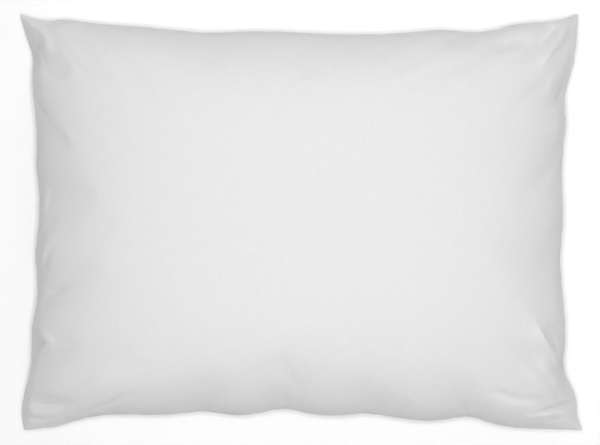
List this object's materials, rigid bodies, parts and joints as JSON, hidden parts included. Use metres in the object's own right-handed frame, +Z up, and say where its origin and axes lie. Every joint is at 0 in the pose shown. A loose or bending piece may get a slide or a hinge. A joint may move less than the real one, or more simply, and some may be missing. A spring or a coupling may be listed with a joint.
{
  "type": "cushion cover",
  "caption": "Plain white cushion cover, filled and lying on its back: a soft crowned rectangle with drawn-in sides, pointed corners and a puckered seam all round.",
  "frame": {"origin": "on the resting plane, under the middle of the cover's bounding box", "axes": "+Z up through the crown of the front panel, +X to the right of the front panel along its long side, +Y to its top edge"},
  "size_m": [0.62, 0.459, 0.1749],
  "materials": {
    "cover_cloth": "plain white cotton in a fine plain weave, matt with a faint sheen, lightly creased"
  },
  "bodies": {
    "root": {"cushion_cover": "cover_cloth"}
  },
  "joints": []
}
